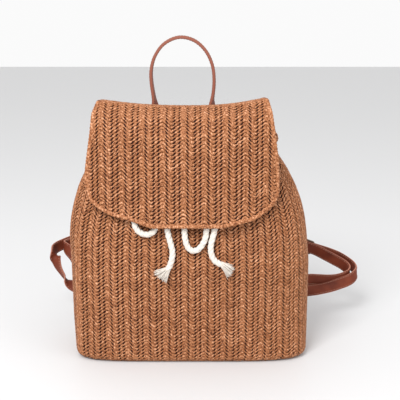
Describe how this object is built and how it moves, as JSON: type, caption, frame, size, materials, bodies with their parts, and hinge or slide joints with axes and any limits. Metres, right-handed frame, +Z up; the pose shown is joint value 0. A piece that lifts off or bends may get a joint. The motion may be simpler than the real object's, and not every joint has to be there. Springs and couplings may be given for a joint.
{
  "type": "drawstring backpack",
  "caption": "Soft woven paper-straw backpack with a front flap, a cotton drawstring bow, a leather carrying handle and leather shoulder straps.",
  "frame": {"origin": "middle of the flat base, on the surface that the backpack stands on", "axes": "+Z up, -Y to the front where the flap and the bow are, +X to the right seen from the front"},
  "size_m": [0.4153, 0.2077, 0.377],
  "materials": {
    "straw": "woven paper straw",
    "handle_leather": "smooth",
    "strap_leather": "smooth",
    "cotton": "twisted rope",
    "fittings": "dark bronze"
  },
  "bodies": {
    "root": {"bag_body": "straw", "neck_casing": "straw", "flap": "straw", "handle": "handle_leather", "drawstring_knot": "cotton", "bow_loop_left": "cotton", "bow_loop_right": "cotton", "rope_tail_left": "cotton", "rope_tail_right": "cotton", "drawstring_neck": "cotton", "frayed_end_left": "cotton", "frayed_end_right": "cotton", "shoulder_strap_left": "strap_leather", "shoulder_strap_right": "strap_leather", "strap_slider_left": "fittings", "strap_slider_right": "fittings", "strap_ring_left": "fittings", "strap_ring_right": "fittings", "ring_tab_left": "strap_leather", "ring_tab_right": "strap_leather"}
  },
  "joints": []
}
